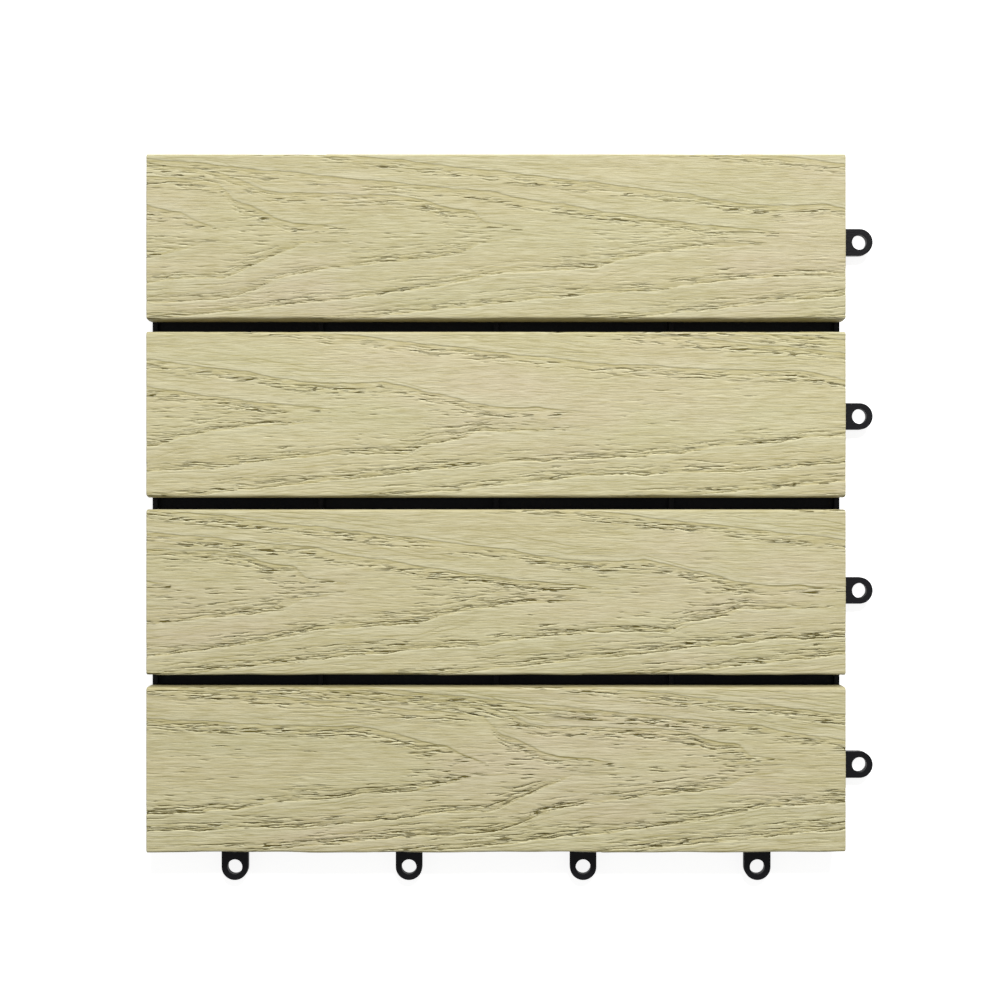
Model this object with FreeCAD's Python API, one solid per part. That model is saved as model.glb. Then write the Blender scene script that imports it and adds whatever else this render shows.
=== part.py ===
import FreeCAD, Part
import os

# Interlocking deck tile: four composite slats screwed to a moulded plastic base.
# The slats run along X. The origin is on the floor, under the middle of the tile.
# Loops stand out on the +X and -Y sides. Pegs hang inside the -X and +Y sides,
# where the loops of the neighbouring tiles come in under the wall.

# Slats
slat_count = 4
slat_width = 70.0
slat_gap = 5.0
slat_thickness = 11.0
slat_top_radius = 1.2
slat_bottom_chamfer = 0.6

# The main rings of the wood grain, pressed into the slats' tops by a roll. A ring is a V that
# points to +X: the place of its tip along the roll, then its upper and its lower arm, as points
# behind the tip and above the slat's middle line. Its groove is steep on the outside.
roll_length = 480.0
roll_places = [295.8, 0.0, -109.6, 184.6]
groove_depth = 0.35
groove_steep_side = 0.4
groove_width = 2.8
shortest_groove = 30.0
rings = [
    (-171.9, [(0, 4), (45, 15), (104, 19), (125, 26)], [(2, -1), (72, -13), (124, -26)]),
    (-65.7, [(0, 2), (39, 6), (190, 27)], [(6, -3), (60, -8), (190, -27)]),
    (39.2, [(0, 1), (49, 5), (80, 12), (208, 26)], [(14, -7), (48, -8), (76, -16), (190, -25)]),
    (182.0, [(0, 4), (53, 19), (180, 26)], [(6, -2), (31, -9), (230, -26)]),
    (234.3, [(0, 3), (30, 7), (54, 22), (90, 26)], [(18, -3), (50, -17), (129, -24)]),
]

# Base moulding
base_height = 11.0
base_inset = 0.5
wall_corner = 4.0
wall_thickness = 2.2
main_rib = 2.2
fine_rib = 1.6
cells_per_slat = 3

# Strip that closes the base under each gap between slats
gutter_width = 9.0
gutter_depth = 2.6
gutter_floor = 1.6

# Feet, which lift the ribs and the wall off the floor
foot_width = 13.0
foot_inset = 0.5
foot_corner = 3.8
foot_height = 2.5

# Pan-head screws, driven from below through posts of the base. The posts stand on rib lines,
# and the last number is how many cells they are in from the tile's ends.
screw_radius = 1.9
screw_length = 14.0
head_radius = 3.8
head_depth = 2.2
post_width = 9.0
post_bottom = 5.0
screw_clearance = 0.2
thread_clearance = 0.05
pilot_spare = 0.5
screw_cell_count = 2

# Loops and pegs
peg_radius = 2.9
peg_clearance = 0.3
peg_floor_clearance = 2.0
peg_plate = 1.8
loop_reach = 6.5
loop_wall = 2.5
loop_thickness = 3.5
loop_bottom = 3.0
loop_gusset = 1.6
gusset_length = 4.0
notch_clearance = 1.0

# Sizes that follow from the ones above
slat_pitch = slat_width + slat_gap
module = slat_count * slat_pitch
slat_length = module - slat_gap
tile_half = module / 2 - slat_gap / 2
wall_outer = tile_half - base_inset
wall_inner = wall_outer - wall_thickness
cell = slat_pitch / cells_per_slat
deck_height = base_height + slat_thickness
gutter_top = base_height - gutter_depth
gutter_bottom = gutter_top - gutter_floor
foot_edge = wall_outer - foot_width / 2 - foot_inset
peg_place = module / 2 - loop_reach
loop_place = module / 2 + loop_reach
loop_hole = peg_radius + peg_clearance
loop_radius = loop_hole + loop_wall
loop_top = loop_bottom + loop_thickness
plate_bottom = base_height - peg_plate
head_bottom = post_bottom - head_depth

# Lines that the ribs, feet, screws and connectors stand on, as distances from the middle
gap_lines = [(i - slat_count / 2) * slat_pitch for i in range(1, slat_count)]
slat_lines = [(i - (slat_count - 1) / 2) * slat_pitch for i in range(slat_count)]
all_lines = [i * cell - module / 2 for i in range(1, slat_count * cells_per_slat)]
fine_lines = [line for line in all_lines if min(abs(line - gap) for gap in gap_lines) > cell / 2]
foot_lines = [-foot_edge] + gap_lines + [foot_edge]
screw_lines = [screw_cell_count * cell - module / 2, module / 2 - screw_cell_count * cell]
screw_places = [(x, y) for y in slat_lines for x in screw_lines]

UP = FreeCAD.Vector(0, 0, 1)


def box(x0, x1, y0, y1, z0, z1):
    return Part.makeBox(x1 - x0, y1 - y0, z1 - z0, FreeCAD.Vector(x0, y0, z0))


def disc(radius, x, y, z0, z1):
    return Part.makeCylinder(radius, z1 - z0, FreeCAD.Vector(x, y, z0))


def turned(shape, degrees):
    """A copy of a shape, turned about the tile's upright middle line."""
    copy = shape.copy()
    copy.rotate(FreeCAD.Vector(0, 0, 0), UP, degrees)
    return copy


def eight_sided_post(x, y, width, corner, z0, z1):
    """A square post with its four upright edges cut back."""
    half = width / 2
    post = box(x - half, x + half, y - half, y + half, z0, z1)
    uprights = [edge for edge in post.Edges if abs(edge.tangentAt(edge.FirstParameter).z) > 0.5]
    return post.makeChamfer(corner, uprights)


def groove(line, inward):
    """A groove along a line of points on a slat's top, which runs out to nothing at both ends.

    Its keel is a step inward and down from the line, and its other edge is a wider step inward.
    """
    start, *middle, end = [FreeCAD.Vector(x, y, deck_height) for x, y in line]
    keel_step = FreeCAD.Vector(0, inward * groove_steep_side, -groove_depth)
    width_step = FreeCAD.Vector(0, inward * groove_width, 0)
    rails = [middle, [point + keel_step for point in middle], [point + width_step for point in middle]]
    outlines = []
    for rail, following in zip(rails, rails[1:] + rails[:1]):
        outlines.append([start, rail[0], following[0]])
        outlines.append([end, rail[-1], following[-1]])
        for i in range(len(middle) - 1):
            outlines.append([rail[i], rail[i + 1], following[i + 1], following[i]])
    faces = [Part.Face(Part.makePolygon(outline + outline[:1])) for outline in outlines]
    return Part.makeSolid(Part.makeShell(faces))


def grain_grooves(middle_y, roll_place):
    """The grooves of one slat's rings. What would show less than the shortest groove is left out."""
    half = slat_length / 2
    grooves = []
    for tip, upper_arm, lower_arm in rings:
        for turn in (-1, 0, 1):
            tip_x = tip + turn * roll_length - roll_place
            for arm, inward in ((upper_arm, -1), (lower_arm, 1)):
                line = [(tip_x - behind, middle_y + height) for behind, height in arm]
                if min(half, line[0][0]) - max(-half, line[-1][0]) > shortest_groove:
                    grooves.append(groove(line, inward))
    return grooves


def slat(middle_y, roll_place):
    """One slat: a rounded section along X, with its grain and blind pilot holes for its screws."""
    left = middle_y - slat_width / 2
    right = middle_y + slat_width / 2
    block = box(-slat_length / 2, slat_length / 2, left, right, base_height, deck_height)
    long_edges = [edge for edge in block.Edges if abs(edge.tangentAt(edge.FirstParameter).x) > 0.5]
    top_edges = [edge for edge in long_edges if edge.CenterOfMass.z > base_height + slat_thickness / 2]
    block = block.makeFillet(slat_top_radius, top_edges)
    long_edges = [edge for edge in block.Edges if abs(edge.tangentAt(edge.FirstParameter).x) > 0.5]
    low_edges = [edge for edge in long_edges if edge.CenterOfMass.z < base_height + 0.01]
    block = block.makeChamfer(slat_bottom_chamfer, low_edges)
    pilot_top = post_bottom + screw_length + pilot_spare
    pilots = [
        disc(screw_radius + thread_clearance, x, middle_y, base_height - 1, pilot_top)
        for x in screw_lines
    ]
    return block.cut(pilots + grain_grooves(middle_y, roll_place))


def screw(x, y):
    """A pan-head screw, turned from its half section."""
    section = [
        (0, head_bottom),
        (head_radius, head_bottom),
        (head_radius, post_bottom),
        (screw_radius, post_bottom),
        (screw_radius, post_bottom + screw_length),
        (0, post_bottom + screw_length),
    ]
    corners = [FreeCAD.Vector(x + radius, y, z) for radius, z in section]
    outline = Part.makePolygon(corners + corners[:1])
    return Part.Face(outline).revolve(FreeCAD.Vector(x, y, 0), UP, 360)


def foot(x, y):
    return eight_sided_post(x, y, foot_width, foot_corner, 0, foot_height)


def screw_post(x, y):
    half = post_width / 2
    return box(x - half, x + half, y - half, y + half, post_bottom, base_height)


def head_space(x, y):
    """The part of a rib that is left out below a screw post, from one lengthwise rib to the next."""
    side = fine_rib / 2
    reach = cell / 2 - side
    return box(x - side, x + side, y - reach, y + reach, foot_height - 1, post_bottom)


def wall():
    outside = eight_sided_post(0, 0, 2 * wall_outer, wall_corner, foot_height, base_height)
    inside = box(-wall_inner, wall_inner, -wall_inner, wall_inner, foot_height - 1, base_height + 1)
    return outside.cut(inside)


def ribs():
    """The lattice inside the wall: main ribs on the slat pitch and fine ones between."""
    reach = wall_inner + wall_thickness / 2
    main = main_rib / 2
    fine = fine_rib / 2
    bars = []
    for line in gap_lines:
        bars.append(box(line - main, line + main, -reach, reach, foot_height, base_height))
        bars.append(box(-reach, reach, line - main, line + main, foot_height, gutter_bottom + gutter_floor / 2))
    across = [box(line - fine, line + fine, -reach, reach, foot_height, base_height) for line in fine_lines]
    troughs = [
        box(-reach, reach, line - gutter_width / 2, line + gutter_width / 2, gutter_top, base_height + 1)
        for line in gap_lines
    ]
    bars += [bar.cut(troughs) for bar in across]
    bars += [box(-reach, reach, line - fine, line + fine, foot_height, base_height) for line in fine_lines]
    return bars


def gutters():
    """The strips seen between the slats."""
    reach = wall_inner + wall_thickness / 2
    half = gutter_width / 2
    return [box(-reach, reach, line - half, line + half, gutter_bottom, gutter_top) for line in gap_lines]


def loop(offset):
    """A loop on the +X side: a round-ended tongue with a gusset against the wall."""
    root = wall_outer - wall_thickness / 2
    low = FreeCAD.Vector(root, offset - loop_radius, loop_bottom)
    low_end = FreeCAD.Vector(loop_place, offset - loop_radius, loop_bottom)
    nose = FreeCAD.Vector(loop_place + loop_radius, offset, loop_bottom)
    high_end = FreeCAD.Vector(loop_place, offset + loop_radius, loop_bottom)
    high = FreeCAD.Vector(root, offset + loop_radius, loop_bottom)
    outline = Part.Wire([
        Part.LineSegment(low, low_end).toShape(),
        Part.Arc(low_end, nose, high_end).toShape(),
        Part.LineSegment(high_end, high).toShape(),
        Part.LineSegment(high, low).toShape(),
    ])
    tongue = Part.Face(outline).extrude(FreeCAD.Vector(0, 0, loop_thickness))
    gusset_side = offset - loop_gusset / 2
    corners = [
        FreeCAD.Vector(root, gusset_side, loop_top - loop_thickness / 2),
        FreeCAD.Vector(wall_outer + gusset_length, gusset_side, loop_top - loop_thickness / 2),
        FreeCAD.Vector(wall_outer + gusset_length, gusset_side, loop_top),
        FreeCAD.Vector(wall_outer, gusset_side, base_height - peg_plate),
        FreeCAD.Vector(root, gusset_side, base_height - peg_plate),
    ]
    gusset = Part.Face(Part.makePolygon(corners + corners[:1])).extrude(FreeCAD.Vector(0, loop_gusset, 0))
    hole = disc(loop_hole, loop_place, offset, loop_bottom - 1, loop_top + 1)
    return tongue.fuse(gusset).cut(hole)


def peg(offset):
    """A peg on the +X side, under a plate that closes the top of its cell."""
    pin = disc(peg_radius, peg_place, offset, peg_floor_clearance, plate_bottom + peg_plate / 2)
    half = cell / 2
    inner = module / 2 - cell
    plate = box(inner, wall_outer - wall_thickness / 2, offset - half, offset + half, plate_bottom, base_height)
    return pin.fuse(plate)


def peg_notch(offset):
    """The way in for the neighbour's loop, through the wall beside a peg."""
    half = loop_radius + notch_clearance
    return box(wall_inner - 1, wall_outer + 1, offset - half, offset + half, foot_height - 1, plate_bottom)


def base_grid():
    solids = [wall()] + ribs() + gutters()
    solids += [foot(x, y) for x in foot_lines for y in foot_lines]
    solids += [screw_post(x, y) for x, y in screw_places]
    bore = screw_radius + screw_clearance
    bores = [disc(bore, x, y, post_bottom - 1, base_height + 1) for x, y in screw_places]
    notches = [head_space(x, y) for x, y in screw_places]
    for offset in slat_lines:
        solids += [turned(loop(offset), degrees) for degrees in (0, -90)]
        notches += [turned(peg_notch(offset), degrees) for degrees in (180, 90)]
    body = solids[0].multiFuse(solids[1:])
    body = body.cut(notches)
    pegs = [turned(peg(offset), degrees) for offset in slat_lines for degrees in (180, 90)]
    return body.multiFuse(pegs).cut(bores).removeSplitter()


def save(name, shape):
    shape.exportStep("parts/" + name + ".step")
    print(name, "solids", len(shape.Solids), "volume cm3", round(shape.Volume / 1000, 2))


os.makedirs("parts", exist_ok=True)
save("base_grid", base_grid())
for index, middle_y in enumerate(reversed(slat_lines)):
    save("slat_" + str(index + 1), slat(middle_y, roll_places[index % len(roll_places)]))
save("slat_screws", Part.makeCompound([screw(x, y) for x, y in screw_places]))
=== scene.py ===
import math
from collections import namedtuple
import bpy
import numpy as np
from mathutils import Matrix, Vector


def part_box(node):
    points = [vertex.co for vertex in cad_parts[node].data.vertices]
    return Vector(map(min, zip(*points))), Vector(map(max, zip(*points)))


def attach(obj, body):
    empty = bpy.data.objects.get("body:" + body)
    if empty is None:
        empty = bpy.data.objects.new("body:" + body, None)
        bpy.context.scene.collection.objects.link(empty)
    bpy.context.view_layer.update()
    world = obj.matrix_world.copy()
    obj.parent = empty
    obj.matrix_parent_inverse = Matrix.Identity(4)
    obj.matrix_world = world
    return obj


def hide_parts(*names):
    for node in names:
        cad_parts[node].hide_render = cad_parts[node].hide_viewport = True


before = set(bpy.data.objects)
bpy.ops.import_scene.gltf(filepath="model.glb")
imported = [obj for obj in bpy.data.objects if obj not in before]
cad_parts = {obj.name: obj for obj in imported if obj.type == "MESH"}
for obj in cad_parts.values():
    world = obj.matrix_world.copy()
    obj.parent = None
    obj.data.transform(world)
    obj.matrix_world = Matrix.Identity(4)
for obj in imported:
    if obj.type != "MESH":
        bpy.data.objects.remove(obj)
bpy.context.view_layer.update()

# Lengths up to the materials are in millimetres, unless a comment says otherwise.
MM = 0.001
rng = np.random.default_rng(11)

# The slats' wood grain is embossed by a roll whose pattern comes round again every 480 mm.
# Each cathedral of the grain is a V that points to +X. It has the place of its tip along the
# roll, the height of its tip above the slat's middle line, and two arms, the upper one first.
# An arm is a list of (distance behind the tip, distance from the tip's height).
ROLL = 480.0
CATHEDRALS = [
    (-171.9, 4.0,
     [(0, 0), (17, 2), (21.5, 7), (36, 9), (42, 11.5), (55, 13.5), (68, 14), (102, 14.5), (109, 16),
      (125, 22), (139, 25), (200, 31), (260, 36)],
     [(2, 4.2), (17.7, 6.7), (27, 10.5), (38, 13), (62, 15.2), (72, 16), (88, 18.5), (105, 22),
      (113, 26), (124, 30), (157, 32), (203, 36)]),
    (-65.7, 1.7,
     [(0, 0), (15.5, 2), (39, 4), (53, 6), (65, 8), (79, 9.7), (90, 12.2), (108, 14.5), (118, 17),
      (180, 23), (260, 31)],
     [(6, 5), (28, 6), (42, 7.6), (54, 8.9), (67, 11.4), (76, 15), (88, 15.6), (118, 17.3),
      (130, 20.2), (153, 24.4), (177, 27.4), (191, 29)]),
    (39.2, 1.0,
     [(0, 0), (20.5, 1.7), (35, 2.1), (49, 3.8), (55, 5.9), (66, 8), (78, 11.4), (87, 13),
      (101, 11.8), (119, 13), (132, 14.7), (145, 17.3), (200, 24), (270, 32)],
     [(14, 7.6), (35, 7.8), (46, 8.2), (55, 11.8), (70, 14), (76, 17.3), (100, 17.3), (116, 18.5),
      (128, 19.8), (143, 21.5), (156, 23.6), (184, 25)]),
    (182.0, 2.5,
     [(0, 0), (8.4, 3), (17.7, 7.6), (31, 10.5), (40, 13), (53, 16.2), (77, 16), (101, 17.2),
      (140, 19.2), (200, 26), (260, 33)],
     [(6, 4.6), (17, 8), (31, 11), (54, 12.6), (63, 14.3), (85, 15.6), (105, 19), (116, 19.4),
      (126, 21), (143, 21.2), (163, 22.3), (180, 22.6)]),
    (234.3, 3.2,
     [(0, 0), (10.5, 1.7), (23, 2.4), (31, 4.6), (37, 8), (42, 10.5), (48, 12.6), (51, 16),
      (55, 20), (90, 23), (150, 29), (200, 34)],
     [(17.7, 5.5), (29.5, 10.5), (39, 15), (48, 19), (54, 20.6), (70, 21), (87, 23.2), (106, 25),
      (129, 27), (142, 27.6), (157, 27.8), (195, 29)]),
]
UPPER = 1
LOWER = -1

# Past its last point an arm goes on outward by this much for each millimetre.
ARM_SLOPE = 0.11

# How far an arm wavers, and the stretch behind the tip in which it comes to waver.
RIPPLE = 0.28
RIPPLE_START = 12

# How much lower the shorter sines of a wavy line are, and what brings it to a height of about 1.
WAVE_FALL = 0.7
WAVE_HEIGHT = 1.6

# Seeds of the wavy lines. A cathedral adds its number to all but the last.
UPPER_SEED = 40
LOWER_SEED = 50
BODY_SEED = 80
FAINT_SEED = 90
DRIFT_SEED = 95
EDGE_SEED = 7

# The roll's turns that a slat can meet, and a distance that stands for out of reach.
TURNS = (-1, 0, 1, 2)
FAR = 99.0

# The pattern reaches this far each side of the slat's middle line.
PATTERN_HALF = 36

# How one kind of pore is drawn: the spread of its lengths, the shortest and longest length, and
# the least and most of its width and its depth.
PoreKind = namedtuple("PoreKind", "spread shortest longest widths depths")
SHORT = PoreKind(0.55, 2.2, 28.0, (0.17, 0.27), (0.3, 0.85))
LONG = PoreKind(0.5, 5, 55, (0.16, 0.25), (0.35, 0.9))
NESTED = PoreKind(0.4, 2.0, 12.0, (0.16, 0.25), (0.3, 0.75))
SPARSE = PoreKind(0.6, 3, 34, (0.18, 0.28), (0.03, 0.22))

# Rows of short pores beside an arm. Each has the arm's side, how many rows there are, how far
# inside the arm the first one lies, where they start behind the tip, a pore's usual length, how
# full the rows are, and the seed of their crowding.
SHORT_PORES = ((UPPER, 5, 1.3, 24, 5.0, 0.85, 67), (LOWER, 8, 0.25, 30, 7.5, 1.0, 60))
ROW_STEP = 0.8
ROW_END = 330
ROW_WANDER = 0.22

# A short pore leans as the arm does over this stretch, by this share of the arm's slope.
LEAN_REACH = 4.0
LEAN_SHARE = 0.6

# Long pores that keep beside an arm: its side, how far inside it they lie, their usual length
# and the usual rest between two.
LONG_PORES = (
    (LOWER, 0.1, 20, 10), (LOWER, 1.2, 16, 14), (LOWER, 2.4, 12, 20), (UPPER, 2.6, 10, 24),
    (UPPER, 3.8, 8, 30),
)
LONG_START = 26
LONG_END = 300
LONG_WANDER = 0.25

# Patches of short pores between the arms: cathedral, nearest and furthest distance behind its
# tip, and how many pores there are.
NESTS = [(0, 14, 34, 26), (1, 22, 78, 90), (2, 44, 68, 46), (3, 14, 34, 46), (4, 34, 52, 30),
         (0, 40, 75, 24), (2, 85, 140, 16), (3, 60, 140, 18)]

# Faint pores all over the roll.
SPARSE_PORES = 1200

# How far a pore wavers, and where the painted highlight along its -Y rim, where the groove's wall
# faces the lamps, lies and how wide it is, in the pore's widths.
PORE_BEND = 0.14
PORE_HIGHLIGHT_PLACE = 1.7
PORE_HIGHLIGHT_WIDTH = 0.6

# Near its tip a cathedral's bands are this much thinner, and less so up to this far behind it.
YOUNG = 3.2
YOUNG_REACH = 22

# How far the olive bands reach inward from the upper and lower arms, and the pale one outward.
OLIVE_TOP = 2.4
OLIVE_BOTTOM = 2.2
PALE = 3.0

# Faint rings outside an arm: how far away they are, and what is added to their seeds.
FAINT_RINGS = ((1.3, 0), (2.7, 20), (4.4, 40), (6.2, 60))

# How deep the rings' lines, the fibres, the hollows inside the arms and the broad swell go.
LINE_DEPTH = 0.10
FIBRE_DEPTH = 0.015
HOLLOW_DEPTH = 0.24
SWELL_DEPTH = 0.02

# Each slat: where along the roll it was cut, how deeply the pores and fine rings were pressed
# into it, how light its composite is against the lightest, and the seed of its fibres.
SLATS = {
    "slat_1": (295.8, 0.75, 0.945, 110),
    "slat_2": (0.0, 0.88, 1.0, 120),
    "slat_3": (-109.6, 1.1, 1.0, 130),
    "slat_4": (184.6, 1.25, 1.0, 140),
}

# The steps of a slat's mesh along it and across it, and around each rounded edge.
COLUMN = 0.95
ROW = 0.25
EDGE_STEPS = 9

TOP_RADIUS = 1.2
FOOT_CHAMFER = 0.6
CUT_BEVEL = 0.25

# How deep the grain may go at a rounded edge, and how far round the edge it fades out.
EDGE_DEPTH = 0.3
EDGE_FADE = 1.2

# The roll presses the -Y edge in by up to this much.
EDGE_PRESS = 0.6

# The screws: a pan head with a crowned driving face and a rounded rim, a threaded shank and a
# point. Rings are counted from the middle of the driving face, and the first of them past the
# rim have no thread.
HEAD_RADIUS = 3.8
HEAD_DEPTH = 2.2
HEAD_ROUND = 0.5
HEAD_ROUND_DEPTH = 0.6
HEAD_CROWN = 0.35
SCREW_RADIUS = 1.9
SCREW_LENGTH = 14.0
POINT_LENGTH = 2.0
POINT_RADIUS = 0.05
SCREW_SIDES = 48
FACE_RINGS = 22
ROUND_RINGS = 4
POINT_RINGS = 8
PLAIN_RINGS = 7
THREAD_RINGS = 8
THREAD_PITCH = 1.8
THREAD_DEPTH = 0.5
THREAD_SHARPNESS = 2.6
CROSS_WIDTH = 1.0
CROSS_REACH = 2.0
CROSS_DEPTH = 1.4
CROSS_SLOPE = 0.2

# The studio, in metres and watts. The floor lies just under the feet.
FLOOR = -0.0002
FLOOR_REACH = 6
FLOOR_GLOW = 0.87
WORLD_LIGHT = 0.2
LAMPS = (("key", (0.2, 1.05, 1.6), 32.4, 0.33), ("rake", (0.25, 1.4, 0.6), 7.0, 0.2))
CAMERA_PLACE = (0.00169, 0.00147, 0.735)
CAMERA_LENS = 60.9
CAMERA_SENSOR = 36

# A pore of the roll. One with a guide keeps beside an arm: its cathedral, side and how far inside.
Pore = namedtuple("Pore", "middle height length width depth slope guide")


def wave(x, seed, longest, count):
    """A smooth wavy line of height about 1, made of sines that come round with the roll."""
    r = np.random.default_rng(seed)
    total = np.zeros_like(x)
    for n in range(1, count + 1):
        length = ROLL / round(n * ROLL / longest)
        total += np.sin(2 * np.pi * x / length + r.uniform(0, 2 * np.pi)) / n ** WAVE_FALL
    return total / WAVE_HEIGHT


def arm(points, behind):
    """The distance of an arm from its tip's height, at places behind the tip."""
    xs = [p[0] for p in points]
    ys = [p[1] for p in points]
    past = np.maximum(behind - xs[-1], 0)
    return np.interp(behind, xs, ys) + past * ARM_SLOPE


def arm_line(number, side, behind):
    """The height of a cathedral's upper or lower arm above the slat's middle line."""
    tip, height, upper, lower = CATHEDRALS[number]
    points, seed = (upper, UPPER_SEED) if side == UPPER else (lower, LOWER_SEED)
    ripple = RIPPLE * wave(tip - behind, seed + number, 40, 5)
    ripple *= np.clip(behind / RIPPLE_START, 0, 1)
    return height + side * arm(points, behind) + ripple


def drawn_length(kind, middle):
    """The length of a pore of one kind, drawn around the length whose logarithm is given."""
    return float(np.clip(rng.lognormal(middle, kind.spread), kind.shortest, kind.longest))


def short_pores(number):
    """The rows of short pores beside both arms of a cathedral."""
    tip = CATHEDRALS[number][0]
    pores = []
    for side, rows, first, start, usual, fullness, seed in SHORT_PORES:
        for row in range(rows):
            behind = start + rng.uniform(0, 8)
            while behind < ROW_END:
                here, ahead = arm_line(number, side, np.array([behind, behind + LEAN_REACH]))
                if abs(here) > PATTERN_HALF:
                    break
                crowd = 0.5 + 0.5 * wave(np.array([tip - behind]), seed + number, 70, 4)[0]
                crowd = float(np.clip(crowd, 0, 1))
                length = drawn_length(SHORT, math.log(usual))
                inward = first + row * ROW_STEP + rng.normal(0, ROW_WANDER)
                slope = -(ahead - here) / LEAN_REACH * LEAN_SHARE
                odds = (0.22 + 0.70 * crowd) * (1.0 - 0.07 * row) * fullness
                if rng.random() < odds:
                    width = rng.uniform(*SHORT.widths)
                    depth = rng.uniform(*SHORT.depths) * (0.6 + 0.4 * crowd)
                    height = here - side * inward
                    pores.append(Pore(tip - behind, height, length, width, depth, slope, None))
                behind += length * 0.85 + rng.exponential(1.2) + 0.3
    return pores


def long_pores(number):
    """The long pores that keep beside the arms of a cathedral."""
    tip = CATHEDRALS[number][0]
    pores = []
    for side, inward, usual, rest in LONG_PORES:
        behind = LONG_START + rng.uniform(0, 12)
        while behind < LONG_END:
            length = drawn_length(LONG, math.log(usual))
            width = rng.uniform(*LONG.widths)
            depth = rng.uniform(*LONG.depths)
            guide = (number, side, inward + rng.normal(0, LONG_WANDER))
            pores.append(Pore(tip - behind - length / 2, 0.0, length, width, depth, 0.0, guide))
            behind += length + rng.exponential(rest)
    return pores


def nest_pores(number, near, far, count):
    """A patch of short pores between the arms of a cathedral."""
    pores = []
    for _ in range(count):
        behind = rng.uniform(near, far)
        top = arm_line(number, UPPER, np.array([behind]))[0]
        bottom = arm_line(number, LOWER, np.array([behind]))[0]
        height = rng.uniform(bottom + 0.8, top - 1.0)
        length = drawn_length(NESTED, 1.6)
        width = rng.uniform(*NESTED.widths)
        depth = rng.uniform(*NESTED.depths)
        middle = CATHEDRALS[number][0] - behind
        pores.append(Pore(middle, height, length, width, depth, 0.0, None))
    return pores


def sparse_pores():
    """Faint pores all over the roll."""
    pores = []
    for _ in range(SPARSE_PORES):
        middle = rng.uniform(-ROLL / 2, ROLL / 2)
        height = rng.uniform(-PATTERN_HALF, PATTERN_HALF)
        length = drawn_length(SPARSE, 2.0)
        width = rng.uniform(*SPARSE.widths)
        depth = rng.uniform(*SPARSE.depths)
        slope = rng.normal(0, 0.012)
        pores.append(Pore(middle, height, length, width, depth, slope, None))
    return pores


PORES = []
for cathedral in range(len(CATHEDRALS)):
    PORES += short_pores(cathedral)
    PORES += long_pores(cathedral)
for nest in NESTS:
    PORES += nest_pores(*nest)
PORES += sparse_pores()


def stretched_noise(shape, along, across, seed):
    """Noise of height about 1, drawn out along the slat. Lengths are in grid steps."""
    field = np.random.default_rng(seed).normal(size=shape)
    for axis, width in ((0, along), (1, across)):
        half = int(width / 2)
        if half == 0:
            continue
        for _ in range(2):
            pad = [(half + 1, half) if a == axis else (0, 0) for a in range(2)]
            total = np.cumsum(np.pad(field, pad, mode="reflect"), axis=axis)
            n = 2 * half + 1
            if axis == 0:
                field = (total[n:] - total[:-n]) / n
            else:
                field = (total[:, n:] - total[:, :-n]) / n
    field -= field.mean()
    return field / field.std()


def ring_fields(along, lateral):
    """How far each place is inside each kind of arm and outside them, and the rings' lines."""
    shape = (len(along), len(lateral))
    to_top = np.full(shape, FAR)
    to_bottom = np.full(shape, FAR)
    outward = np.full(shape, FAR)
    line = np.zeros(shape)
    for number, (tip, _, _, lower_arm) in enumerate(CATHEDRALS):
        start = lower_arm[0][0]
        for turn in TURNS:
            behind = tip + turn * ROLL - along
            reached = behind > 0
            if not reached.any():
                continue
            top = arm_line(number, UPPER, behind)
            bottom = arm_line(number, LOWER, behind)
            under_top = top[:, None] - lateral
            over_bottom = lateral - bottom[:, None]
            inside = reached[:, None] & (under_top > 0) & (over_bottom > 0)
            below = np.where(over_bottom < 0, -over_bottom, FAR)
            beyond = np.where(under_top < 0, -under_top, below)
            young = (YOUNG * np.clip(1 - behind / YOUNG_REACH, 0, 1))[:, None]
            to_top = np.where(inside, np.minimum(to_top, under_top + young), to_top)
            to_bottom = np.where(inside, np.minimum(to_bottom, over_bottom + young), to_bottom)
            outward = np.where(reached[:, None], np.minimum(outward, beyond + young), outward)

            # The two rings are widest and strongest near the tip.
            width = (0.18 + 0.2 * np.exp(-behind / 25))[:, None]
            body = np.clip(behind / 8, 0, 1) * (0.45 + 0.75 * np.exp(-behind / 30))
            body *= 0.75 + 0.35 * wave(along, BODY_SEED + number, 60, 4)
            body *= reached
            body_low = np.clip((behind - start) / 8, 0, 1)
            body_low *= 0.14 + 0.7 * np.exp(-(behind - start) / 22)
            body_low *= behind > start
            line = np.maximum(line, np.exp(-(under_top / width) ** 2) * body[:, None])
            line = np.maximum(line, np.exp(-(over_bottom / width) ** 2) * body_low[:, None])

            for away, added in FAINT_RINGS:
                seed = number + added
                faint = np.clip(0.42 + 0.5 * wave(along, FAINT_SEED + seed, 90, 5), 0, 0.9)
                faint = faint * np.clip((behind - 25) / 40, 0, 1)
                drift = 0.5 * wave(along, DRIFT_SEED + seed, 120, 4)
                for ring in (top + away + drift, bottom - away + drift):
                    thin = np.exp(-((lateral - ring[:, None]) / 0.2) ** 2) * faint[:, None]
                    line = np.maximum(line, thin * 0.8)
    return to_top, to_bottom, outward, np.clip(line, 0, 1)


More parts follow.
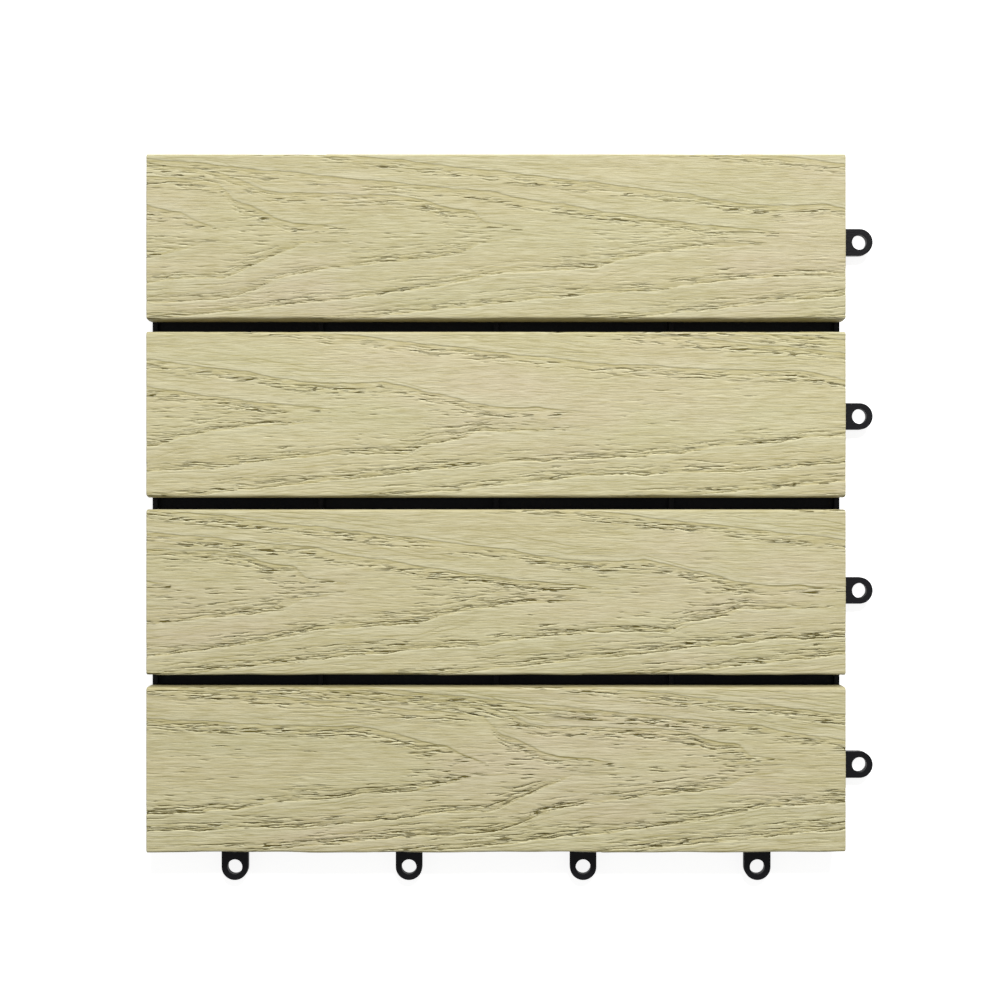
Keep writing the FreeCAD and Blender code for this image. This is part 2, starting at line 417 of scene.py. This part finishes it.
def pore_fields(x, lateral, place):
    """Where a slat's pores lie, where the painted highlight along each pore's -Y rim lies, and how
    deep the pores go.
    """
    shape = (len(x), len(lateral))
    pore = np.zeros(shape)
    pore_highlight = np.zeros(shape)
    deep = np.zeros(shape)
    step = x[1] - x[0]
    for one in PORES:
        half = one.length / 2
        for turn in TURNS:
            middle = one.middle + turn * ROLL - place
            first = max(int((middle - half - x[0]) / step), 0)
            last = min(int((middle + half - x[0]) / step) + 2, len(x))
            if last <= first:
                continue
            xs = x[first:last]
            taper = np.clip(1 - ((xs - middle) / half) ** 2, 0, 1)[:, None] ** 0.5
            if one.guide is None:
                centre = one.height + one.slope * (xs - middle)
            else:
                number, side, inward = one.guide
                behind = CATHEDRALS[number][0] + turn * ROLL - place - xs
                centre = arm_line(number, side, behind) - side * inward
            centre = centre + PORE_BEND * np.sin(xs * 0.7 + one.middle)
            low = np.searchsorted(lateral, centre.min() - 3.0 * one.width)
            high = np.searchsorted(lateral, centre.max() + 1.4 * one.width)
            off = (lateral[low:high] - centre[:, None]) / one.width
            core = np.clip(1.2 - 1.2 * np.abs(off), 0, 1) * taper
            # A painted highlight just -Y of the pore, not raised in the mesh.
            highlight = np.exp(-((off + PORE_HIGHLIGHT_PLACE) / PORE_HIGHLIGHT_WIDTH) ** 2) * taper * one.depth
            patch = (slice(first, last), slice(low, high))
            pore_highlight[patch] = np.maximum(pore_highlight[patch], highlight)
            pore[patch] = np.maximum(pore[patch], core * (0.25 + 1.1 * one.depth))
            deep[patch] = np.maximum(deep[patch], core * one.depth)
    return np.clip(pore, 0, 1), pore_highlight, deep


def grain(x, lateral, place, pressed, seed):
    """The depth of a slat's embossed face, and the fields that its material reads.

    Each field comes with its value on the slat's plain sides and underside.
    """
    to_top, to_bottom, outward, line = ring_fields(x + place, lateral)
    pore, pore_highlight, deep = pore_fields(x, lateral, place)
    shape = line.shape
    olive = np.maximum(np.exp(-to_top / OLIVE_TOP), 0.9 * np.exp(-to_bottom / OLIVE_BOTTOM))
    pale = np.exp(-outward / PALE)
    ring = 0.35 + 0.65 * olive - 0.35 * pale * (1 - olive)
    rows = np.maximum(np.exp(-((to_top - 3.0) / 1.9) ** 2), np.exp(-(to_bottom / 3.6) ** 2))
    rows *= np.clip(0.65 + 0.45 * stretched_noise(shape, 14 / COLUMN, 1.5 / ROW, seed + 3), 0, 1)
    fibre = 0.75 * stretched_noise(shape, 26 / COLUMN, 0.25 / ROW, seed)
    fibre += 0.65 * stretched_noise(shape, 9 / COLUMN, 0.5 / ROW, seed + 2)
    swell = stretched_noise(shape, 40 / COLUMN, 3.0 / ROW, seed + 1)
    depth = pressed * (np.maximum(LINE_DEPTH * line, deep) + FIBRE_DEPTH * (fibre + 4))
    depth += HOLLOW_DEPTH * olive + SWELL_DEPTH * (swell + 3.5)
    return depth, {
        "pore": (pore * pressed, 0.0),
        "pore_highlight": (pore_highlight, 0.0),
        "ring": (np.clip(ring, 0, 1), 0.35),
        "line": (line * pressed, 0.0),
        "fibre": (0.5 + 0.16 * (fibre * pressed), 0.5),
        "rows": (rows * pressed, 0.0),
    }


def face_section(flat, top):
    """The section of a slat's face, up the -Y edge, over the top and down the +Y edge.

    It gives each point's Y and Z, the way out of the slat there, and its distance from the
    middle line, measured over the face.
    """
    turn = np.linspace(0, math.pi / 2, EDGE_STEPS)
    over = np.linspace(-flat, flat, int(round(2 * flat / ROW)) + 1)[1:-1]
    up = top - TOP_RADIUS + TOP_RADIUS * np.sin(turn)
    down = top - TOP_RADIUS + TOP_RADIUS * np.cos(turn)
    before = -flat - TOP_RADIUS * (math.pi / 2 - turn)
    y = np.concatenate([-flat - TOP_RADIUS * np.cos(turn), over, flat + TOP_RADIUS * np.sin(turn)])
    z = np.concatenate([up, np.full(len(over), top), down])
    out_y = np.concatenate([-np.cos(turn), np.zeros(len(over)), np.sin(turn)])
    out_z = np.concatenate([np.sin(turn), np.ones(len(over)), np.cos(turn)])
    lateral = np.concatenate([before, over, flat + TOP_RADIUS * turn])
    return y, z, out_y, out_z, lateral


def under_section(half, bottom):
    """The section of a slat's plain sides and underside, from the +Y side round to the -Y one."""
    side = [(-half, 6.5), (-half, 3.5), (-half, FOOT_CHAMFER), (-half + FOOT_CHAMFER, 0)]
    sole = [(k * half / 3, 0) for k in (-2, -1, 0, 1, 2)]
    section = side + sole + [(-y, z) for y, z in reversed(side)]
    section.reverse()
    return np.array(section) + (0, bottom)


def loft(name, points):
    """A closed mesh through rings of points, with smooth sides and flat ends, from millimetres."""
    n, m = points.shape[:2]
    i = np.arange(n - 1)[:, None]
    j = np.arange(m)[None, :]
    after = (j + 1) % m
    quads = np.stack([i * m + after, (i + 1) * m + after, (i + 1) * m + j, i * m + j], axis=-1)
    sides = quads.size // 4
    loops = np.concatenate([quads.ravel(), np.arange(m)[::-1], (n - 1) * m + np.arange(m)])
    starts = np.concatenate([np.arange(sides) * 4, [sides * 4, sides * 4 + m]])
    smooth = np.arange(sides + 2) < sides
    mesh = bpy.data.meshes.new(name)
    mesh.vertices.add(n * m)
    mesh.vertices.foreach_set("co", (points * MM).ravel())
    mesh.loops.add(len(loops))
    mesh.loops.foreach_set("vertex_index", loops.astype(np.int32))
    mesh.polygons.add(len(starts))
    mesh.polygons.foreach_set("loop_start", starts.astype(np.int32))
    mesh.update(calc_edges=True)
    mesh.validate()
    mesh.polygons.foreach_set("use_smooth", smooth)
    return mesh


def slat_mesh(name, face_material, end_material):
    """A slat with its embossed face, plain sides and underside, and sawn ends."""
    place, pressed, tone, seed = SLATS[name]
    low, high = (np.array(corner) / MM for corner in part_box(name))
    middle = (low[1] + high[1]) / 2
    half = (high[1] - low[1]) / 2
    flat = half - TOP_RADIUS
    inner = np.arange(low[0] + 2 * CUT_BEVEL, high[0] - CUT_BEVEL, COLUMN)
    x = np.concatenate([[low[0], low[0] + CUT_BEVEL], inner, [high[0] - CUT_BEVEL, high[0]]])
    regular = np.linspace(x[0], x[-1], len(x))
    face_y, face_z, out_y, out_z, lateral = face_section(flat, high[2])
    depth, fields = grain(regular, lateral, place, pressed, seed)
    fade = np.clip((half + EDGE_FADE - np.abs(lateral)) / EDGE_FADE, 0, 1)
    deepest = EDGE_DEPTH + np.clip((flat - np.abs(lateral)) / 2, 0, 1)
    depth = np.minimum(depth * fade, deepest)

    # The -Y edge is pressed in and out a little by the roll.
    wavy = 0.28 + 0.26 * wave(np.clip(x, inner[0], inner[-1]) + place, EDGE_SEED, 120, 5)
    wavy = np.clip(wavy, 0, EDGE_PRESS)[:, None]
    near = np.clip((-flat + 2.5 - face_y) / 4.5, 0, 1)
    under = under_section(half, low[2])
    points = np.zeros((len(x), len(face_y) + len(under), 3))
    points[:, :, 0] = x[:, None]
    points[:, :len(face_y), 1] = face_y - depth * out_y + wavy * near
    points[:, :len(face_y), 2] = face_z - depth * out_z
    points[:, len(face_y):, 1:] = under
    for end in (0, -1):
        gap = points[end, :, 1:] - (0.0, (low[2] + high[2]) / 2)
        points[end, :, 1:] -= np.sign(gap) * np.minimum(np.abs(gap), CUT_BEVEL)
    points[:, :, 1] += middle

    mesh = loft(name + "_grain", points)
    # Painted shade: the colour darkens down the rounded edges and most on the plain sides and
    # underside.
    wall = 0.5 * np.clip((high[2] - face_z) / TOP_RADIUS, 0, 1)
    fields["wall"] = (np.broadcast_to(wall, depth.shape), 1.0)
    fields["tone"] = (np.full(depth.shape, tone), tone)
    for label, (field, plain) in fields.items():
        full = np.full(points.shape[:2], plain)
        full[:, :len(face_y)] = field
        attribute = mesh.attributes.new(label, "FLOAT", "POINT")
        attribute.data.foreach_set("value", full.ravel().astype(np.float32))
    slots = np.zeros(len(mesh.polygons), dtype=np.int32)
    slots[-2:] = 1
    mesh.materials.append(face_material)
    mesh.materials.append(end_material)
    mesh.polygons.foreach_set("material_index", slots)
    mesh.update()
    return mesh


def screw_rings():
    """The rings of a screw, from the middle of its driving face round to its tip.

    Each is a radius and a height above the driving face.
    """
    face = np.linspace(POINT_RADIUS, HEAD_RADIUS - HEAD_ROUND, FACE_RINGS)
    crown = HEAD_CROWN * (face / face[-1]) ** 4
    turn = np.linspace(0, math.pi / 2, ROUND_RINGS + 1)[1:]
    edge_r = face[-1] + HEAD_ROUND * np.sin(turn)
    edge_z = crown[-1] + HEAD_ROUND_DEPTH * (1 - np.cos(turn))
    tip = HEAD_DEPTH + SCREW_LENGTH
    shank_z = np.arange(HEAD_DEPTH, tip - POINT_LENGTH, THREAD_PITCH / THREAD_RINGS)
    shank_r = np.full(len(shank_z), SCREW_RADIUS)
    point_z = np.linspace(shank_z[-1], tip, POINT_RINGS + 1)[1:]
    point_r = SCREW_RADIUS * (1 - np.linspace(0, 1, POINT_RINGS + 1)[1:]) + POINT_RADIUS
    radius = np.concatenate([face, edge_r, [HEAD_RADIUS, SCREW_RADIUS], shank_r, point_r])
    height = np.concatenate([crown, edge_z, [HEAD_DEPTH, HEAD_DEPTH], shank_z, point_z])
    return radius, height


def screw_mesh(places, bottom):
    """Pan-head screws with a cross recess and a coarse thread, as one mesh."""
    radius, height = screw_rings()
    rings = len(radius)
    sides = SCREW_SIDES
    angle = np.linspace(0, 2 * math.pi, sides, endpoint=False)
    z = np.repeat(height[:, None], sides, axis=1)
    turn = (z / THREAD_PITCH - angle / (2 * math.pi)) % 1.0
    crest = np.clip(1 - THREAD_SHARPNESS * np.abs(turn - 0.5), 0, 1)
    thread = np.maximum(radius[:, None] - THREAD_DEPTH * (1 - crest), POINT_RADIUS)
    threaded = np.arange(rings)[:, None] > FACE_RINGS + PLAIN_RINGS
    r = np.where(threaded, thread, radius[:, None])
    x = r * np.cos(angle)
    y = r * np.sin(angle)
    arm_x = np.maximum(np.abs(y) - CROSS_WIDTH / 2, np.abs(x) - CROSS_REACH)
    arm_y = np.maximum(np.abs(x) - CROSS_WIDTH / 2, np.abs(y) - CROSS_REACH)
    recess = np.clip(-np.minimum(arm_x, arm_y) / CROSS_SLOPE, 0, 1) * CROSS_DEPTH
    z[:FACE_RINGS] += recess[:FACE_RINGS]
    points, faces = [], []
    for place_x, place_y in places:
        first = len(points)
        points += [
            (place_x + x[k, a], place_y + y[k, a], bottom + z[k, a])
            for k in range(rings) for a in range(sides)
        ]
        faces.append([first + a for a in reversed(range(sides))])
        faces.append([first + (rings - 1) * sides + a for a in range(sides)])
        for k in range(rings - 1):
            for a in range(sides):
                b = (a + 1) % sides
                near = first + k * sides
                far = near + sides
                faces.append([near + a, near + b, far + b, far + a])
    mesh = bpy.data.meshes.new("screws")
    mesh.from_pydata([tuple(v * MM for v in point) for point in points], [], faces)
    mesh.polygons.foreach_set("use_smooth", [len(face) == 4 for face in faces])
    mesh.update()
    return mesh


def linear(r, g, b):
    """A colour given in 0 to 255 as seen, for a shader."""
    def one(v):
        v /= 255
        return v / 12.92 if v <= 0.04045 else ((v + 0.055) / 1.055) ** 2.4
    return (one(r), one(g), one(b), 1.0)


def seen(tree):
    """1 where the eye meets this straight or by way of gloss or glass, and 0 for other light."""
    path = tree.nodes.new("ShaderNodeLightPath")
    either = path.outputs["Is Camera Ray"]
    for ray in ("Is Glossy Ray", "Is Transmission Ray"):
        greater = tree.nodes.new("ShaderNodeMath")
        greater.operation = "MAXIMUM"
        tree.links.new(either, greater.inputs[0])
        tree.links.new(path.outputs[ray], greater.inputs[1])
        either = greater.outputs["Value"]
    return either


class Nodes:
    """A material's node tree, with short ways to add the nodes that the part needs."""

    # The Mix node's sockets for colours.
    FIRST_COLOUR = 6
    SECOND_COLOUR = 7
    MIXED_COLOUR = 2

    def __init__(self, name):
        self.material = bpy.data.materials.new(name)
        self.material.use_nodes = True
        self.tree = self.material.node_tree
        self.shader = self.tree.nodes["Principled BSDF"]
        self.coords = self.tree.nodes.new("ShaderNodeTexCoord")

    def join(self, source, target):
        self.tree.links.new(source, target)

    def noise(self, scale, detail, rough=0.5, shift=0.0):
        """Noise with this many features to the metre along X, Y and Z, moved along Y."""
        place = self.tree.nodes.new("ShaderNodeMapping")
        place.inputs["Scale"].default_value = scale
        place.inputs["Location"].default_value = (0, shift, 0)
        self.join(self.coords.outputs["Object"], place.inputs["Vector"])
        node = self.tree.nodes.new("ShaderNodeTexNoise")
        node.inputs["Scale"].default_value = 1.0
        node.inputs["Detail"].default_value = detail
        node.inputs["Roughness"].default_value = rough
        self.join(place.outputs["Vector"], node.inputs["Vector"])
        return node.outputs["Fac"]

    def attribute(self, label):
        node = self.tree.nodes.new("ShaderNodeAttribute")
        node.attribute_name = label
        return node.outputs["Fac"]

    def ramp(self, value, low, high, bottom=0.0, top=1.0):
        """The value, with low to high brought to bottom to top."""
        node = self.tree.nodes.new("ShaderNodeMapRange")
        self.join(value, node.inputs["Value"])
        node.inputs["From Min"].default_value = low
        node.inputs["From Max"].default_value = high
        node.inputs["To Min"].default_value = bottom
        node.inputs["To Max"].default_value = top
        return node.outputs["Result"]

    def combine(self, kind, a, b):
        node = self.tree.nodes.new("ShaderNodeMath")
        node.operation = kind
        for socket, value in zip(node.inputs, (a, b)):
            if isinstance(value, float):
                socket.default_value = value
            else:
                self.join(value, socket)
        return node.outputs["Value"]

    def mix(self, factor, a, b, kind="MIX"):
        node = self.tree.nodes.new("ShaderNodeMix")
        node.data_type = "RGBA"
        node.blend_type = kind
        factor_socket = node.inputs["Factor"]
        first = node.inputs[self.FIRST_COLOUR]
        second = node.inputs[self.SECOND_COLOUR]
        for socket, value in ((factor_socket, factor), (first, a), (second, b)):
            if isinstance(value, (float, tuple)):
                socket.default_value = value
            else:
                self.join(value, socket)
        return node.outputs[self.MIXED_COLOUR]

    def bump(self, height, distance, edge=0.0):
        """Bump, over edges that look rounded to a radius where one is given."""
        node = self.tree.nodes.new("ShaderNodeBump")
        if edge:
            rounded = self.tree.nodes.new("ShaderNodeBevel")
            rounded.inputs["Radius"].default_value = edge
            self.join(rounded.outputs["Normal"], node.inputs["Normal"])
        node.inputs["Distance"].default_value = distance
        self.join(height, node.inputs["Height"])
        self.join(node.outputs["Normal"], self.shader.inputs["Normal"])

    def surface(self, colour, roughness, specular, metallic=0.0):
        """Gives the shader its colour and how it shines. A fixed number goes on its socket."""
        self.join(colour, self.shader.inputs["Base Color"])
        if isinstance(roughness, float):
            self.shader.inputs["Roughness"].default_value = roughness
        else:
            self.join(roughness, self.shader.inputs["Roughness"])
        self.shader.inputs["Specular IOR Level"].default_value = specular
        self.shader.inputs["Metallic"].default_value = metallic


def composite_material():
    """Pale composite with olive rings, fibres, pores and nicks near the rings, with painted
    highlights beside the pores and nicks and painted shade on the slats' edges and sides.
    """
    n = Nodes("composite_grain")
    fine = n.noise((120, 1500, 700), 5, 0.7)
    nick = n.noise((140, 1500, 700), 1.5, 0.6)
    # Painted highlight: the nick noise moved 0.4 mm to -Y, where a nick's lit wall would be.
    nick_highlight_noise = n.noise((140, 1500, 700), 1.5, 0.6, 0.6)
    streak = n.noise((9, 240, 240), 3)
    broad = n.noise((8, 42, 42), 2)
    hue = n.noise((11, 30, 30), 2)
    ring = n.attribute("ring")
    fibre = n.attribute("fibre")
    near_ring = n.ramp(n.attribute("rows"), 0.15, 0.75, 0.06, 1.0)
    nicked = n.combine("MULTIPLY", n.ramp(nick, 0.57, 0.605), near_ring)
    nick_highlight = n.combine("MULTIPLY", n.ramp(nick_highlight_noise, 0.57, 0.605), near_ring)
    olive = n.combine("MULTIPLY", n.ramp(ring, 0.38, 1.0), n.ramp(fine, 0.3, 0.65, 0.3, 0.75))
    layers = (
        (n.ramp(broad, 0.38, 0.68, 0.0, 0.4), (198, 195, 155)),
        (n.ramp(hue, 0.52, 0.72, 0.0, 0.65), (207, 194, 164)),
        (n.ramp(ring, 0.30, 0.0, 0.0, 0.6), (212, 207, 174)),
        (olive, (182, 171, 116)),
        (n.ramp(fibre, 0.58, 1.0, 0.0, 0.34), (172, 160, 108)),
        (n.ramp(fibre, 0.40, 0.05, 0.0, 0.3), (214, 209, 174)),
        (n.ramp(fine, 0.5, 0.72, 0.0, 0.6), (162, 150, 92)),
        (n.ramp(fine, 0.48, 0.28, 0.0, 0.55), (226, 221, 188)),
        (n.ramp(n.attribute("line"), 0.05, 0.9, 0.0, 0.75), (139, 127, 54)),
        # Painted highlight along the -Y rim of each pore.
        (n.ramp(n.attribute("pore_highlight"), 0.1, 0.6, 0.0, 0.75), (226, 221, 184)),
        (n.ramp(n.attribute("pore"), 0.26, 0.8, 0.0, 0.97), (96, 84, 16)),
        # Painted highlight just -Y of each nick.
        (n.combine("MULTIPLY", nick_highlight, 0.7), (234, 229, 194)),
        (n.combine("MULTIPLY", nicked, 0.95), (90, 79, 16)),
        # Painted shade on the rounded edges, sides and underside.
        (n.ramp(n.attribute("wall"), 0.0, 1.0, 0.0, 0.6), (156, 145, 98)),
    )
    colour = n.mix(n.ramp(streak, 0.3, 0.7), linear(194, 185, 143), linear(206, 197, 158))
    for amount, shade in layers:
        colour = n.mix(amount, colour, linear(*shade))
    colour = n.mix(1.0, colour, n.attribute("tone"), "MULTIPLY")
    n.surface(colour, n.ramp(streak, 0.3, 0.7, 0.62, 0.5), 0.2)
    n.bump(n.combine("SUBTRACT", fine, n.combine("MULTIPLY", nicked, 0.9)), 0.0003)
    return n.material


def sawn_material():
    """The slats' sawn ends, with saw marks and crumbs."""
    n = Nodes("composite_sawn")
    marks = n.noise((400, 90, 1600), 2)
    crumbs = n.noise((1600, 1600, 1600), 3)
    colour = n.mix(n.ramp(crumbs, 0.35, 0.7), linear(178, 169, 128), linear(206, 198, 160))
    colour = n.mix(n.ramp(marks, 0.4, 0.65, 0.0, 0.3), colour, linear(160, 149, 106))
    n.surface(colour, 0.8, 0.2)
    n.bump(n.combine("ADD", marks, crumbs), 0.0002)
    return n.material


def plastic_material():
    """Black moulded plastic with a fine matt texture."""
    n = Nodes("black_moulding")
    spark = n.noise((1800, 1800, 1800), 2)
    cloud = n.noise((26, 26, 26), 4)
    colour = n.mix(n.ramp(cloud, 0.35, 0.7), (0.004, 0.004, 0.005, 1), (0.008, 0.008, 0.010, 1))
    n.surface(colour, n.ramp(cloud, 0.3, 0.7, 0.42, 0.58), 0.1)
    n.bump(n.combine("ADD", spark, n.combine("MULTIPLY", cloud, 0.6)), 0.00012, edge=0.0004)
    return n.material


def steel_material():
    """The screws' steel, with faint rings from turning."""
    n = Nodes("screw_steel")
    rings = n.noise((700, 700, 60), 3)
    colour = n.mix(n.ramp(rings, 0.3, 0.7), (0.42, 0.42, 0.41, 1), (0.62, 0.62, 0.60, 1))
    n.surface(colour, n.ramp(rings, 0.3, 0.7, 0.28, 0.42), 0.5, 1.0)
    n.bump(rings, 0.00003)
    return n.material


def place_in_scene(name, data):
    made = bpy.data.objects.new(name, data)
    bpy.context.scene.collection.objects.link(made)
    return made


composite = composite_material()
sawn = sawn_material()
plastic = plastic_material()
steel = steel_material()

for name in SLATS:
    board = place_in_scene(name + "_grained", slat_mesh(name, composite, sawn))
    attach(board, "root")
    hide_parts(name)

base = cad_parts["base_grid"]
base.data.materials.clear()
base.data.materials.append(plastic)

# The screws stand on the slats' middle lines, at both ends of the box that their solids fill.
low, high = (np.array(corner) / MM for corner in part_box("slat_screws"))
lines = [low[0] + HEAD_RADIUS, high[0] - HEAD_RADIUS]
middles = [(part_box(slat)[0][1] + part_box(slat)[1][1]) / 2 / MM for slat in SLATS]
screw_places = [(x, y) for y in middles for x in lines]
made = place_in_scene("screws_threaded", screw_mesh(screw_places, low[2]))
made.data.materials.append(steel)
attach(made, "root")
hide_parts("slat_screws")

floor_mesh = bpy.data.meshes.new("floor")
square = ((-1, -1), (1, -1), (1, 1), (-1, 1))
corners = [(x * FLOOR_REACH, y * FLOOR_REACH, FLOOR) for x, y in square]
floor_mesh.from_pydata(corners, [], [(0, 1, 2, 3)])
floor = place_in_scene("floor", floor_mesh)
white = Nodes("floor_white")
white.shader.inputs["Base Color"].default_value = (0.62, 0.62, 0.62, 1)
white.shader.inputs["Roughness"].default_value = 0.9
white.shader.inputs["Specular IOR Level"].default_value = 0.0
white.shader.inputs["Emission Color"].default_value = (1, 1, 1, 1)
glow = white.combine("MULTIPLY", seen(white.tree), FLOOR_GLOW)
white.join(glow, white.shader.inputs["Emission Strength"])
floor_mesh.materials.append(white.material)

world = bpy.data.worlds.new("studio")
world.use_nodes = True
sky = world.node_tree
sky.nodes["Background"].inputs["Color"].default_value = (1, 1, 1, 1)
strength = sky.nodes.new("ShaderNodeMapRange")
strength.inputs["To Min"].default_value = WORLD_LIGHT
strength.inputs["To Max"].default_value = 1.0
sky.links.new(seen(sky), strength.inputs["Value"])
sky.links.new(strength.outputs["Result"], sky.nodes["Background"].inputs["Strength"])
bpy.context.scene.world = world

for name, place, power, size in LAMPS:
    light = bpy.data.lights.new(name, "AREA")
    light.energy = power
    light.size = size
    lamp = place_in_scene(name, light)
    lamp.location = place
    lamp.rotation_mode = "QUATERNION"
    lamp.rotation_quaternion = (-Vector(place)).to_track_quat("-Z", "Y")

# The camera looks straight down, a little off the tile's middle.
camera_data = bpy.data.cameras.new("camera")
camera_data.sensor_width = CAMERA_SENSOR
camera_data.lens = CAMERA_LENS
camera = place_in_scene("camera", camera_data)
camera.location = CAMERA_PLACE
bpy.context.scene.camera = camera
bpy.context.scene.view_settings.view_transform = "Standard"
